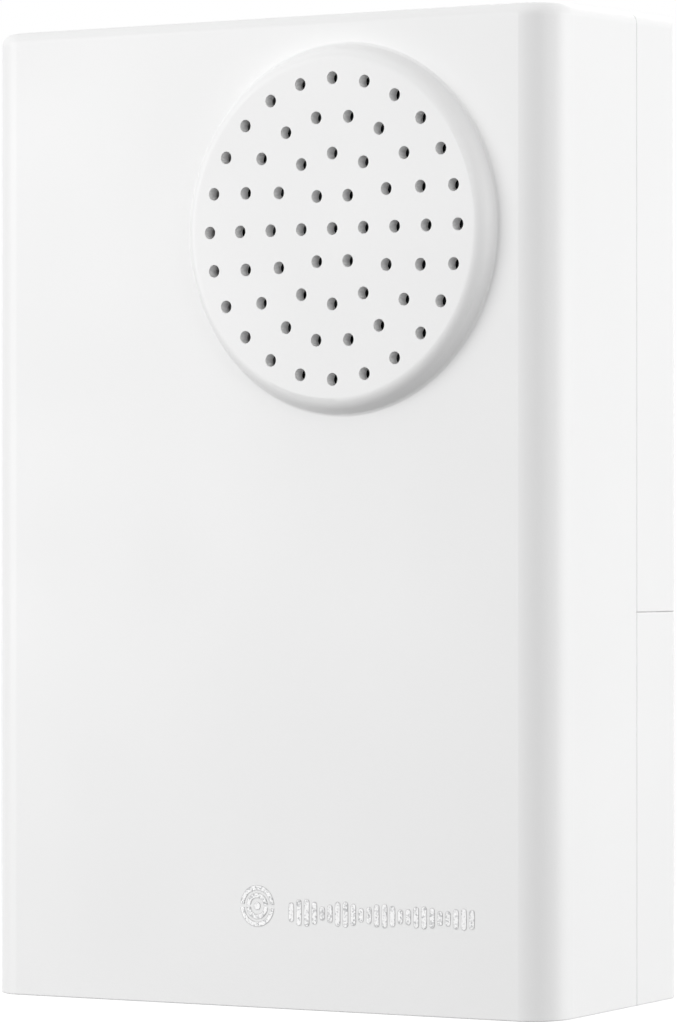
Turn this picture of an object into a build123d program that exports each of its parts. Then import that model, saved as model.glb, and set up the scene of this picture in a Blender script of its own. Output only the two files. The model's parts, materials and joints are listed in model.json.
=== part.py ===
from build123d import *
from math import cos, pi, radians, sin, sqrt, tan
import os

# A door chime in a flat moulded case. The origin is the middle of the face that lies on the
# wall: X runs to the right, Y into the wall and Z up, so the front looks along -Y.
# All sizes are in millimetres.

# Case, outside. Its width and height are worked out below from what it holds.
front_depth = 14.66
rear_depth = 8.0
seam_gap = 0.04
front_edge_radius = 3.6
top_edge_radius = 1.2
rear_edge_radius = 2.0
small_edge_radius = 0.12
bottom_rise = 1.05

# Case, walls and fits
face_wall = 2.0
side_wall = 1.8
bottom_wall = 2.2
back_wall = 1.8
running_gap = 0.3
snug_gap = 0.1
lip_wall = 1.2
lip_reach = 1.6
lip_root = 2.0

# Raised grille
grille_side_margin = 5.65
grille_top_margin = 2.75
grille_root_margin = 0.1
grille_height = 1.65
grille_wall = 1.2
grille_flank_angle = 65.0
grille_shoulder_radius = 1.15
grille_foot_radius = 0.3
hole_radius = 0.6
ring_pitch = 3.5
ring_count = 4
holes_per_ring_step = 6
hole_edge_margin = 0.3

# Battery cover
cover_split_gap = 0.02
rail_reach = 1.0
rail_thickness = 0.8
rail_back_distance = 4.6
tab_width = 8.0
tab_reach = 2.5
tab_thickness = 0.8
tab_gap = 0.2
tab_spread = 24.0
grip_drop = 3.0
grip_count = 5
grip_pitch = 2.4
grip_width = 22.0
grip_half_height = 0.6
grip_depth = 0.6

# Battery bay and cells
cell_length = 50.5
cell_radius = 7.25
cell_edge_radius = 0.7
nub_radius = 2.75
nub_height = 1.0
cell_floor_gap = 0.05
cell_side_gap = 1.03
cell_rib_width = 0.9
cell_rib_height = 4.0
bay_side_wall = 2.2
bay_wall = 1.5
contact_thickness = 0.4
contact_width = 10.0
contact_height = 11.0
contact_lift = 1.6
contact_tab_width = 3.0
contact_tab_reach = 1.2
spring_wire_radius = 0.3
spring_large_radius = 4.0
spring_small_radius = 2.2
spring_turns = 3
spring_least_length = 5.1

# Case screws
case_screw_side_inset = 6.0
case_screw_top_inset = 6.0
case_screw_above_split = 5.25
boss_radius = 2.75
counterbore_depth = 3.4
counterbore_wall = 1.0
screw_radius = 1.25
screw_length = 10.0
screw_head_radius = 2.3
screw_head_height = 1.6
screw_clearance = 0.25
recess_arm_share = 0.6
recess_slot_share = 0.33
pilot_clearance = 0.05
pilot_spare = 1.0

# Wall mounting and wire entry
keyhole_entry_radius = 4.0
keyhole_slot_half_width = 2.1
keyhole_slot_rise = 7.0
keyhole_below_top = 16.5
wire_hole_radius = 2.75
wire_hole_side = -19.0
wire_hole_above_split = 5.1

# Speaker, with depths counted from the face wall inwards
speaker_clearance = 0.15
speaker_ring_wall = 1.2
speaker_ring_height = 2.2
gasket_thickness = 0.5
gasket_width = 1.1
frame_sheet = 0.5
frame_flange_width = 1.6
frame_ledge_depth = 2.5
frame_ledge_width = 1.7
frame_flank_run = 1.8
frame_base_depth = 5.1
frame_flank_sheet = 0.3
frame_window_count = 6
frame_window_width = 4.5
frame_window_margin = 0.25
yoke_radius = 7.6
yoke_wall = 1.2
yoke_base = 1.0
pole_radius = 5.35
pole_height = 0.9
magnet_radius = 5.0
magnet_height = 1.6
coil_inner_radius = 5.65
coil_wall = 0.4
coil_length = 2.7
coil_front_depth = 3.7
cone_edge_gap = 0.3
cone_edge_depth = 1.3
cone_roll_width = 2.0
cone_roll_height = 0.55
cone_neck_depth = 3.5
cone_cap_height = 1.1
cone_thickness = 0.25
cone_collar_length = 0.7
speaker_screw_angles = (20.0, 140.0, 260.0)
speaker_screw_outset = 2.6
speaker_screw_radius = 0.9
speaker_screw_length = 2.2
speaker_screw_head_radius = 3.4
speaker_screw_head_height = 0.6
speaker_boss_radius = 1.9
strip_reach = 2.8
strip_length = 7.0
strip_thickness = 0.8
lug_size = 1.6
lug_thickness = 0.5
lug_spread = 4.0

# Circuit board and what it carries
board_width = 18.5
board_ring_margin = 2.75
board_side_margin = 1.4
board_boss_margin = 1.25
board_thickness = 1.6
board_standoff = 5.0
board_boss_radius = 2.2
board_screw_radius = 0.8
board_screw_length = 5.0
board_screw_head_radius = 1.8
board_screw_head_height = 1.2
board_screw_edge = 2.5
part_spacing = 1.0
part_edge = 4.2
blob_radius = 4.5
blob_height = 1.6
can_radius = 3.15
can_height = 8.0
can_edge_radius = 0.5
disc_radius = 2.6
disc_thickness = 1.8
disc_edge_radius = 0.6
part_lead_radius = 0.25
part_lead_height = 1.6
transistor_radius = 2.3
transistor_flat = 1.3
transistor_height = 4.6
transistor_lead_pitch = 1.27
resistor_radius = 0.95
resistor_edge_radius = 0.45
resistor_bend_radius = 0.75
resistor_length = 5.6
resistor_lead_span = 8.4
resistor_pitch = 2.6
resistor_count = 3
terminal_width = 10.2
terminal_height = 10.0
terminal_depth = 8.0
terminal_pitch = 5.0
terminal_entry = 3.2
terminal_screw_radius = 1.6
terminal_screw_sink = 1.0
terminal_slot_depth = 1.0
terminal_floor = 1.0
terminal_wire_way = 1.6

# Leads
lead_radius = 0.5
lead_bend_share = 0.45
battery_lead_pad_height = 2.0
battery_lead_first_run = 5.8
battery_lead_pitch = 2.2
speaker_lead_rise = 2.8
speaker_lead_pad_inset = 1.8

# Speaker and grille, from the rings of holes outwards
recess_radius = ring_count * ring_pitch + hole_radius + hole_edge_margin
speaker_radius = recess_radius + gasket_width
ring_inner_radius = speaker_radius + speaker_clearance
ring_outer_radius = ring_inner_radius + speaker_ring_wall
grille_base_radius = ring_outer_radius + grille_root_margin
frame_bowl_radius = speaker_radius - frame_flange_width
frame_ledge_inner_radius = frame_bowl_radius - frame_ledge_width
frame_base_radius = frame_ledge_inner_radius - frame_flank_run

# Board, from its lower edge upwards
terminal_rise = part_spacing
resistor_rise = terminal_rise + terminal_depth + part_spacing + resistor_radius
small_parts_rise = resistor_rise + resistor_pitch * (resistor_count - 1) + part_spacing + transistor_radius
blob_rise = small_parts_rise + transistor_radius + part_spacing / 2 + blob_radius
board_screw_rise = blob_rise + blob_radius + part_spacing + board_screw_head_radius
board_height = board_screw_rise + board_screw_edge

# Battery cover, as high as the two cells in their bay need
cell_offset = cell_radius + cell_rib_width / 2 + running_gap
bay_low_rise = bottom_rise + side_wall + running_gap
bay_clear_height = 2 * (cell_offset + cell_radius + cell_side_gap)
cover_height = bay_low_rise + bay_wall + bay_clear_height - cover_split_gap / 2

# Case, as wide as the cells or the speaker beside the board need, and as high as the
# battery cover, the board and the bosses below and above it
bay_side = side_wall + running_gap + bay_side_wall
width_for_cells = cell_length + spring_least_length + 2 * (contact_thickness + bay_side)
width_for_speaker = (side_wall + board_side_margin + board_width + board_ring_margin
                     + ring_outer_radius + grille_base_radius + grille_side_margin)
case_width = max(width_for_cells, width_for_speaker)
boss_to_board = boss_radius + board_boss_margin
case_height = cover_height + case_screw_above_split + 2 * boss_to_board + board_height + case_screw_top_inset

# Places worked out from the sizes above
case_depth = front_depth + seam_gap + rear_depth
half_width = case_width / 2
half_height = case_height / 2
front_y = -case_depth
seam_y = front_y + front_depth
rear_y = seam_y + seam_gap
seat_y = front_y + face_wall
inner_x = half_width - side_wall
inner_top = half_height - side_wall
inner_bottom = -half_height + bottom_wall
split_z = -half_height + cover_height
upper_low_z = split_z + cover_split_gap / 2
cover_top_z = split_z - cover_split_gap / 2
grille_x = half_width - grille_side_margin - grille_base_radius
grille_z = half_height - grille_top_margin - grille_base_radius
grille_face_y = front_y - grille_height

bay_x = inner_x - running_gap
bay_inner_x = bay_x - bay_side_wall
bay_top = upper_low_z
bay_bottom = -half_height + bay_low_rise
bay_rim_y = -back_wall - running_gap
cell_rear_y = bay_rim_y - running_gap
cell_y = cell_rear_y - cell_radius
bay_floor_y = cell_y - cell_radius - cell_floor_gap
bay_front_y = bay_floor_y - bay_wall
bay_middle_z = (bay_top + bay_bottom + bay_wall) / 2
upper_cell_z = bay_middle_z + cell_offset
lower_cell_z = bay_middle_z - cell_offset
spring_length = 2 * (bay_inner_x - contact_thickness) - cell_length
rail_y = -rail_back_distance

screw_x = half_width - case_screw_side_inset
screw_top_z = half_height - case_screw_top_inset
screw_low_z = split_z + case_screw_above_split
case_screw_places = [(x, z) for z in (screw_top_z, screw_low_z) for x in (-screw_x, screw_x)]

flange_depth = gasket_thickness + frame_sheet
speaker_screw_circle = speaker_radius + speaker_screw_outset
speaker_screw_turns = [radians(angle) for angle in speaker_screw_angles]
speaker_screw_places = [
    (grille_x + speaker_screw_circle * cos(turn), grille_z + speaker_screw_circle * sin(turn))
    for turn in speaker_screw_turns
]
strip_x = grille_x - yoke_radius - running_gap - strip_reach / 2
strip_y = seat_y + frame_base_depth

board_left = -inner_x + board_side_margin
board_right = board_left + board_width
board_low = screw_low_z + boss_to_board
board_high = board_low + board_height
board_front_y = seat_y + board_standoff
board_y = board_front_y + board_thickness
terminal_x = (board_left + board_right) / 2
terminal_low = board_low + terminal_rise
resistor_low_z = board_low + resistor_rise
small_parts_z = board_low + small_parts_rise
board_screw_places = [
    (board_left + board_screw_edge, board_low + board_screw_rise),
    (board_right - board_screw_edge, resistor_low_z + resistor_pitch),
]


def block(x, y, z):
    """A box between a low and a high value along each axis."""
    size = Box(x[1] - x[0], y[1] - y[0], z[1] - z[0])
    return Pos((x[0] + x[1]) / 2, (y[0] + y[1]) / 2, (z[0] + z[1]) / 2) * size


def rod(radius, x, z, y_low, y_high):
    """A cylinder that lies along Y."""
    return Pos(x, (y_low + y_high) / 2, z) * Rot(90, 0, 0) * Cylinder(radius, y_high - y_low)


def turned(outline, x, z):
    """A solid turned about an axis along Y, from a closed outline of lines in (radius, y)."""
    return Pos(x, 0, z) * revolve(make_face(outline), Axis.Y)


def turned_points(points, x, z):
    """A solid turned about an axis along Y, from the corners of a straight-sided outline."""
    return turned(Polyline(*points, close=True), x, z)


def tube(points, radius):
    """A round lead along straight runs joined by arcs as large as the runs allow."""
    places = [Vector(*point) for point in points]
    radii = []
    for before, corner, after in zip(places, places[1:], places[2:]):
        run_in = corner - before
        run_out = after - corner
        half_turn = radians(run_in.get_angle(run_out)) / 2
        radii.append(lead_bend_share * min(run_in.length, run_out.length) / tan(half_turn))
    path = FilletPolyline(*places, radius=radii)
    section = Plane(origin=path @ 0, z_dir=path % 0) * Circle(radius)
    lead = sweep(section, path=path)
    expected = pi * radius**2 * path.length
    print("lead radii", [round(value, 2) for value in radii])
    print("lead volume over section times length", round(lead.volume / expected, 4))
    return lead


def bottom_wedge():
    """What the bottom face leaves away as it climbs from the front edge to the wall."""
    outline = Polyline(
        (front_y, -half_height),
        (0, -half_height + bottom_rise),
        (0, -half_height - bottom_rise),
        (front_y, -half_height - bottom_rise),
        close=True,
    )
    return extrude(Plane.YZ * make_face(outline), amount=case_width, both=True)


def front_outside():
    """The solid outer form of the front half."""
    form = block((-half_width, half_width), (front_y, seam_y), (-half_height, half_height))
    form = fillet(form.edges().filter_by(Axis.Z).group_by(Axis.Y)[0], front_edge_radius)
    top_edges = form.faces().sort_by(Axis.Z)[-1].edges()
    form = fillet([edge for edge in top_edges if edge.center().Y < seam_y - seam_gap], top_edge_radius)
    form -= bottom_wedge()
    faces = form.faces()
    sharp_edges = set(faces.sort_by(Axis.Z)[0].edges()) | set(faces.sort_by(Axis.Y)[-1].edges())
    return fillet(sharp_edges, small_edge_radius)


def rear_outside():
    """The solid outer form of the whole back half, sharp where it meets its neighbours."""
    form = block((-half_width, half_width), (rear_y, 0), (-half_height, half_height))
    back_edges = form.faces().sort_by(Axis.Y)[-1].edges()
    upper_edges = [edge for edge in back_edges if edge.center().Z > -half_height + bottom_rise]
    form = fillet(upper_edges, rear_edge_radius)
    outline = Rectangle(case_width, case_height)
    outline = fillet(outline.vertices().group_by(Axis.Y)[-1], top_edge_radius)
    return form & extrude(Plane.XZ * outline, amount=case_depth, both=True) - bottom_wedge()


def rear_portion(low, high):
    """The back half between two heights, with its sharp edges broken."""
    form = rear_outside() & block((-half_width, half_width), (rear_y, 0), (low, high))
    faces = form.faces()
    sharp_edges = set(faces.sort_by(Axis.Y)[0].edges()) | set(faces.sort_by(Axis.Z)[0].edges())
    if high < half_height:
        sharp_edges |= set(faces.sort_by(Axis.Z)[-1].edges())
    return fillet(sharp_edges, small_edge_radius)


def grille_disc():
    """The raised disc: a flat face, a rounded shoulder, a sloping flank and a small hollow foot."""
    slope = radians(grille_flank_angle)
    shoulder_drop = grille_shoulder_radius * (1 - cos(slope))
    foot_drop = grille_foot_radius * (1 - cos(slope))
    flank_drop = grille_height - shoulder_drop - foot_drop
    foot_top = (grille_base_radius - grille_foot_radius * sin(slope), front_y - foot_drop)
    flank_top = (foot_top[0] - flank_drop / tan(slope), foot_top[1] - flank_drop)
    flat_radius = flank_top[0] - grille_shoulder_radius * sin(slope)
    shoulder_middle = (
        flat_radius + grille_shoulder_radius * sin(slope / 2),
        grille_face_y + grille_shoulder_radius * (1 - cos(slope / 2)),
    )
    foot_middle = (
        grille_base_radius - grille_foot_radius * sin(slope / 2),
        front_y - grille_foot_radius * (1 - cos(slope / 2)),
    )
    root_y = front_y + face_wall / 2
    base = (grille_base_radius, front_y)
    outline = Polyline((flat_radius, grille_face_y), (0, grille_face_y), (0, root_y), (base[0], root_y), base)
    foot = ThreePointArc(base, foot_middle, foot_top)
    flank = Line(foot_top, flank_top)
    shoulder = ThreePointArc(flank_top, shoulder_middle, (flat_radius, grille_face_y))
    return turned([outline, foot, flank, shoulder], grille_x, grille_z)


def grille_holes():
    """The centre hole and its rings, each ring with six more holes than the one inside it."""
    y_low = grille_face_y - face_wall
    y_high = seat_y + face_wall
    holes = [rod(hole_radius, grille_x, grille_z, y_low, y_high)]
    for ring in range(1, ring_count + 1):
        count = holes_per_ring_step * ring
        for step in range(count):
            angle = 2 * pi * step / count
            x = grille_x + ring * ring_pitch * cos(angle)
            z = grille_z + ring * ring_pitch * sin(angle)
            holes.append(rod(hole_radius, x, z, y_low, y_high))
    return holes


def front_cover():
    """The front shell with its grille, the speaker's seat and the bosses."""
    cavity = block((-inner_x, inner_x), (seat_y, seam_y + side_wall), (inner_bottom, inner_top))
    cavity_corner = front_edge_radius - side_wall
    cavity = fillet(cavity.edges().filter_by(Axis.Z).group_by(Axis.Y)[0], cavity_corner)
    shell = front_outside() - cavity + grille_disc()
    shell += rod(ring_outer_radius, grille_x, grille_z, seat_y - face_wall / 2, seat_y + speaker_ring_height)
    shell -= rod(ring_inner_radius, grille_x, grille_z, seat_y, seat_y + speaker_ring_height)
    for x, z in speaker_screw_places:
        head_room = speaker_screw_head_radius + snug_gap
        shell += rod(speaker_boss_radius, x, z, seat_y - face_wall / 2, seat_y + flange_depth)
        shell -= rod(head_room, x, z, seat_y + flange_depth, seat_y + speaker_ring_height)
        bottom = seat_y + flange_depth - speaker_screw_length - snug_gap
        shell -= rod(speaker_screw_radius + pilot_clearance, x, z, bottom, seat_y + flange_depth)
    for x, z in case_screw_places:
        tip = -counterbore_depth - screw_length
        shell += rod(boss_radius, x, z, seat_y - face_wall / 2, seam_y)
        shell -= rod(screw_radius + pilot_clearance, x, z, tip - pilot_spare, seam_y)
    for x, z in board_screw_places:
        bottom = board_y - board_screw_length - snug_gap
        shell += rod(board_boss_radius, x, z, seat_y - face_wall / 2, board_front_y)
        shell -= rod(board_screw_radius + pilot_clearance, x, z, bottom, board_front_y)
    shell -= rod(recess_radius, grille_x, grille_z, grille_face_y + grille_wall, seat_y)
    return shell - grille_holes()


def keyhole():
    """The opening that hangs on a wall screw: a round entry with a slot above it."""
    entry_z = half_height - keyhole_below_top
    slot_z = entry_z + keyhole_slot_rise
    half = keyhole_slot_half_width
    opening = rod(keyhole_entry_radius, 0, entry_z, -back_wall, 0)
    opening += block((-half, half), (-back_wall, 0), (entry_z, slot_z))
    return opening + rod(half, 0, slot_z, -back_wall, 0)


def battery_bay():
    """The open box for the cells, with the rails' grooves and the slots for the contact tabs."""
    bay = block((-bay_x, bay_x), (bay_front_y, bay_rim_y), (bay_bottom, bay_top + bay_wall))
    root_x = inner_x + side_wall / 2
    bay += block((-root_x, root_x), (rear_y, -back_wall / 2), (bay_top, bay_top + bay_wall))
    bay -= block((-bay_inner_x, bay_inner_x), (bay_floor_y, 0), (bay_bottom + bay_wall, bay_top))
    rib_low = bay_middle_z - cell_rib_width / 2
    rib_x = bay_inner_x - contact_width
    bay += block((-rib_x, rib_x), (bay_floor_y - bay_wall / 2, bay_floor_y + cell_rib_height),
                 (rib_low, rib_low + cell_rib_width))
    groove_half = rail_thickness / 2 + running_gap
    for side in (-1, 1):
        groove_x = sorted((side * (inner_x - rail_reach - running_gap), side * half_width))
        bay -= block(groove_x, (rail_y - groove_half, rail_y + groove_half), (bay_bottom, bay_top))
    for z in (lower_cell_z, upper_cell_z):
        tab_half = contact_tab_width / 2 + snug_gap
        bay -= block((-bay_inner_x, -bay_inner_x + contact_thickness + snug_gap), (bay_front_y, bay_floor_y),
                     (z - tab_half, z + tab_half))
    return bay


def rear_cover():
    """The back half above the split, in one piece with the battery bay below it."""
    shell = rear_portion(upper_low_z, half_height)
    shell -= block((-inner_x, inner_x), (rear_y, -back_wall), (upper_low_z, inner_top))
    lip_x = inner_x - snug_gap
    lip_top = inner_top - snug_gap
    lip = block((-lip_x, lip_x), (seam_y - lip_reach, rear_y), (upper_low_z, lip_top))
    lip += block((-inner_x, inner_x), (rear_y, rear_y + lip_root), (upper_low_z, inner_top))
    lip -= block((-lip_x + lip_wall, lip_x - lip_wall), (seam_y - lip_reach, rear_y + lip_root),
                 (upper_low_z, lip_top - lip_wall))
    shell = shell + lip + battery_bay()
    for x, z in case_screw_places:
        bore_radius = screw_head_radius + screw_clearance
        cup_y = -counterbore_depth - counterbore_wall
        shell += rod(bore_radius + counterbore_wall, x, z, cup_y, -back_wall / 2)
        shell += rod(boss_radius, x, z, seam_y, -back_wall)
        shell -= rod(bore_radius, x, z, -counterbore_depth, 0)
        shell -= rod(screw_radius + screw_clearance, x, z, seam_y, 0)
    for middle in (-tab_spread / 2, tab_spread / 2):
        pocket_x = (middle - tab_width / 2 - running_gap, middle + tab_width / 2 + running_gap)
        pocket_y = (-back_wall - tab_gap, -back_wall + tab_thickness + tab_gap)
        shell -= block(pocket_x, pocket_y, (upper_low_z, cover_top_z + tab_reach + running_gap))
    shell -= rod(wire_hole_radius, wire_hole_side, split_z + wire_hole_above_split, -back_wall, 0)
    return (shell & case_limits()) - keyhole()


def case_limits():
    """The outer form of both halves and the seam between them, which no boss may pass."""
    return rear_outside() + block((-inner_x, inner_x), (seat_y, rear_y), (inner_bottom, inner_top))


def battery_cover():
    """The sliding cover: back, sides and bottom in one, with rails, tabs and a grip."""
    inner_low = -half_height + bottom_rise + side_wall
    shell = rear_portion(-half_height, cover_top_z)
    shell -= block((-inner_x, inner_x), (rear_y, -back_wall), (inner_low, cover_top_z))
    for side in (-1, 1):
        rail_x = sorted((side * (inner_x - rail_reach), side * (inner_x + side_wall / 2)))
        rail_edge = rail_thickness / 2
        shell += block(rail_x, (rail_y - rail_edge, rail_y + rail_edge), (inner_low, cover_top_z))
        tab_middle = side * tab_spread / 2
        tab_x = (tab_middle - tab_width / 2, tab_middle + tab_width / 2)
        tab_z = (cover_top_z - tab_reach, cover_top_z + tab_reach)
        shell += block(tab_x, (-back_wall, -back_wall + tab_thickness), tab_z)
    grip_x = (-grip_width / 2, grip_width / 2)
    for step in range(grip_count):
        z = cover_top_z - grip_drop - grip_pitch * (step + 1)
        shell -= block(grip_x, (-grip_depth, 0), (z - grip_half_height, z + grip_half_height))
    return shell


def pan_screw(place, radius, length, head_radius, head_height, head_y):
    """A cross-head screw driven towards the front. Its head's underside is at head_y."""
    x, z = place
    top = head_y + head_height
    screw = rod(radius, x, z, head_y - length, head_y) + rod(head_radius, x, z, head_y, top)
    recess_y = (head_y + head_height / 2, top)
    arm = head_radius * recess_arm_share
    slot = radius * recess_slot_share
    screw -= block((x - arm, x + arm), recess_y, (z - slot, z + slot))
    return screw - block((x - slot, x + slot), recess_y, (z - arm, z + arm))


def case_screws():
    """The screws that hold the two halves together."""
    size = (screw_radius, screw_length, screw_head_radius, screw_head_height)
    return Compound(children=[pan_screw(place, *size, -counterbore_depth) for place in case_screw_places])


def speaker_screws():
    """The screws whose wide heads clamp the speaker's flange."""
    size = (speaker_screw_radius, speaker_screw_length, speaker_screw_head_radius, speaker_screw_head_height)
    head_y = seat_y + flange_depth
    return Compound(children=[pan_screw(place, *size, head_y) for place in speaker_screw_places])


def board_screws():
    """The screws that hold the board on its two bosses."""
    size = (board_screw_radius, board_screw_length, board_screw_head_radius, board_screw_head_height)
    return Compound(children=[pan_screw(place, *size, board_y) for place in board_screw_places])


def cell(z, side):
    """A round cell along X with its positive nub towards the given side."""
    tip = bay_inner_x - contact_thickness
    body_length = cell_length - nub_height
    can = Cylinder(cell_radius, body_length)
    can = fillet(can.edges().filter_by(GeomType.CIRCLE), cell_edge_radius)
    nub = Pos(0, 0, body_length / 2 + nub_height / 2) * Cylinder(nub_radius, nub_height)
    middle = tip - nub_height - body_length / 2
    return Pos(side * middle, cell_y, z) * Rot(0, side * 90, 0) * (can + nub)


def end_contact(z):
    """A contact plate on the left wall with a tab that passes through the bay's floor."""
    plate_x = (-bay_inner_x, -bay_inner_x + contact_thickness)
    low = bay_floor_y + contact_lift
    plate = block(plate_x, (low, low + contact_height), (z - contact_width / 2, z + contact_width / 2))
    tab_half = contact_tab_width / 2
    return plate + block(plate_x, (bay_front_y - contact_tab_reach, low), (z - tab_half, z + tab_half))


def bridge_contact():
    """The plate on the right wall that joins the two cells."""
    low = bay_floor_y + contact_lift
    reach = cell_offset + contact_width / 2
    plate = block((bay_inner_x - contact_thickness, bay_inner_x), (low, low + contact_height),
                  (bay_middle_z - reach, bay_middle_z + reach))
    notch_half = cell_offset - contact_width / 2
    return plate - block((0, half_width), (low + contact_height / 2, low + contact_height),
                         (bay_middle_z - notch_half, bay_middle_z + notch_half))


def arc_pair(start, start_way, end, end_way):
    """Two arcs that leave start along start_way and reach end along end_way."""
    chord = end - start
    ways = start_way + end_way
    spread = 2 * (1 - start_way.dot(end_way))
    along = chord.dot(ways)
    reach = (sqrt(along**2 + spread * chord.dot(chord)) - along) / spread
    middle = (start + end + (start_way - end_way) * reach) / 2
    middle_way = (chord - ways * reach).normalized()
    return [TangentArc(start, middle, tangent=start_way), TangentArc(middle, end, tangent=middle_way)]


def contact_spring(z, side):
    """A conical spring whose wide end lies on the plate and whose narrow end meets the cell."""
    travel = spring_length - 2 * spring_wire_radius
    wide_x = bay_inner_x - contact_thickness - spring_wire_radius

    def place(turn):
        share = turn / spring_turns
        radius = spring_large_radius + (spring_small_radius - spring_large_radius) * share
        angle = 2 * pi * turn
        return Vector(side * (wide_x - travel * share), cell_y + radius * cos(angle), z + radius * sin(angle))

    def way(turn):
        step = 0.001
        return (place(turn + step) - place(turn - step)).normalized()

    turns = [quarter / 4 for quarter in range(4 * spring_turns + 1)]
    arcs = []
    for first, second in zip(turns, turns[1:]):
        arcs += arc_pair(place(first), way(first), place(second), way(second))
    path = Wire(arcs)
    per_turn = 24
    points = [place(step / per_turn) for step in range(per_turn * spring_turns + 1)]
    half_turn = per_turn // 2
    gaps = [(one - two).length for i, one in enumerate(points) for two in points[i + half_turn:]]
    print("spring least gap to itself", round(min(gaps) - 2 * spring_wire_radius, 2))
    section = Plane(origin=path @ 0, z_dir=path % 0) * Circle(spring_wire_radius)
    return sweep(section, path=path)


def speaker_gasket():
    """The foam ring between the face wall and the speaker's flange."""
    ring = rod(speaker_radius, grille_x, grille_z, seat_y, seat_y + gasket_thickness)
    return ring - rod(recess_radius, grille_x, grille_z, seat_y, seat_y + gasket_thickness)


def speaker_frame():
    """The pressed basket: flange, ledge for the cone, pierced flank and base."""
    front = seat_y + gasket_thickness
    ledge = seat_y + frame_ledge_depth
    base = seat_y + frame_base_depth
    yoke_hole = yoke_radius - yoke_wall
    bowl = turned_points([
        (speaker_radius, front),
        (speaker_radius, front + frame_sheet),
        (frame_bowl_radius, front + frame_sheet),
        (frame_bowl_radius, ledge),
        (frame_ledge_inner_radius, ledge),
        (frame_base_radius, base),
        (yoke_hole, base),
        (yoke_hole, base - frame_sheet),
        (frame_base_radius - frame_flank_sheet, base - frame_sheet),
        (frame_ledge_inner_radius - frame_flank_sheet, ledge - frame_sheet),
        (frame_bowl_radius - frame_sheet, ledge - frame_sheet),
        (frame_bowl_radius - frame_sheet, front),
    ], grille_x, grille_z)
    window = block((frame_base_radius - 2 * frame_sheet, frame_bowl_radius),
                   (ledge + frame_window_margin, base - frame_sheet - frame_window_margin),
                   (-frame_window_width / 2, frame_window_width / 2))
    for step in range(frame_window_count):
        bowl -= Pos(grille_x, 0, grille_z) * Rot(0, 360 * step / frame_window_count, 0) * window
    return bowl


def speaker_yoke():
    """The steel cup behind the basket."""
    front = seat_y + frame_base_depth
    floor = front + pole_height + magnet_height
    cup = rod(yoke_radius, grille_x, grille_z, front, floor + yoke_base)
    return cup - rod(yoke_radius - yoke_wall, grille_x, grille_z, front, floor)


def speaker_magnet():
    """The disc magnet on the cup's floor."""
    front = seat_y + frame_base_depth + pole_height
    return rod(magnet_radius, grille_x, grille_z, front, front + magnet_height)


def pole_plate():
    """The steel disc that leads the field to the gap."""
    front = seat_y + frame_base_depth
    return rod(pole_radius, grille_x, grille_z, front, front + pole_height)


def voice_coil():
    """The wound tube that hangs in the gap."""
    front = seat_y + coil_front_depth
    tube_wall = rod(coil_inner_radius + coil_wall, grille_x, grille_z, front, front + coil_length)
    return tube_wall - rod(coil_inner_radius, grille_x, grille_z, front, front + coil_length)


def speaker_cone():
    """The diaphragm: cap, cone, rolled surround and the collar that holds the coil."""
    edge_radius = frame_bowl_radius - frame_sheet - cone_edge_gap
    edge = seat_y + cone_edge_depth
    neck = seat_y + cone_neck_depth
    neck_radius = coil_inner_radius + coil_wall
    roll_inner = edge_radius - cone_roll_width
    roll_middle = edge_radius - cone_roll_width / 2
    cap_curve = (neck_radius**2 + cone_cap_height**2) / (2 * cone_cap_height)
    half_neck = neck_radius / 2
    half_rise = cone_cap_height - (cap_curve - sqrt(cap_curve**2 - half_neck**2))

    def face(shift):
        cap = ThreePointArc((0, neck - cone_cap_height + shift), (half_neck, neck - half_rise + shift),
                            (neck_radius, neck + shift))
        flank = Line((neck_radius, neck + shift), (roll_inner, edge + shift))
        roll = ThreePointArc((roll_inner, edge + shift), (roll_middle, edge - cone_roll_height + shift),
                             (edge_radius, edge + shift))
        return [cap, flank, roll]

    centre = Line((0, neck - cone_cap_height), (0, neck - cone_cap_height + cone_thickness))
    rim = Line((edge_radius, edge), (edge_radius, edge + cone_thickness))
    skin = turned(face(0) + face(cone_thickness) + [centre, rim], grille_x, grille_z)
    collar_high = seat_y + coil_front_depth + cone_collar_length
    collar = rod(neck_radius + cone_thickness, grille_x, grille_z, neck, collar_high)
    collar -= rod(neck_radius, grille_x, grille_z, neck, collar_high)
    return skin + collar - rod(neck_radius, grille_x, grille_z, seat_y + coil_front_depth, collar_high)


def terminal_strip():
    """The small insulating strip on the basket that carries the solder lugs."""
    return block((strip_x - strip_reach / 2, strip_x + strip_reach / 2), (strip_y, strip_y + strip_thickness),
                 (grille_z - strip_length / 2, grille_z + strip_length / 2))


def lug_places():
    """The middle of each solder lug, as (x, z)."""
    return [(strip_x, grille_z + side * lug_spread / 2) for side in (-1, 1)]


def solder_lugs():
    """The two tinned lugs where the speaker's leads end."""
    low = strip_y + strip_thickness
    half = lug_size / 2
    return Compound(children=[
        block((x - half, x + half), (low, low + lug_thickness), (z - half, z + half)) for x, z in lug_places()
    ])


def circuit_board():
    """The board, with its two screw holes."""
    board = block((board_left, board_right), (board_front_y, board_y), (board_low, board_high))
    for x, z in board_screw_places:
        board -= rod(board_screw_radius + screw_clearance, x, z, board_front_y, board_y)
    return board


def chip_blob():
    """The drop of black resin over the melody chip, a low dome."""
    curve = (blob_radius**2 + blob_height**2) / (2 * blob_height)
    half = blob_radius / 2
    rise = blob_height - (curve - sqrt(curve**2 - half**2))
    dome = ThreePointArc((blob_radius, board_y), (half, board_y + rise), (0, board_y + blob_height))
    base = Polyline((0, board_y + blob_height), (0, board_y), (blob_radius, board_y))
    return turned([dome, base], board_left + part_edge + blob_radius - part_spacing, board_low + blob_rise)


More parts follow.
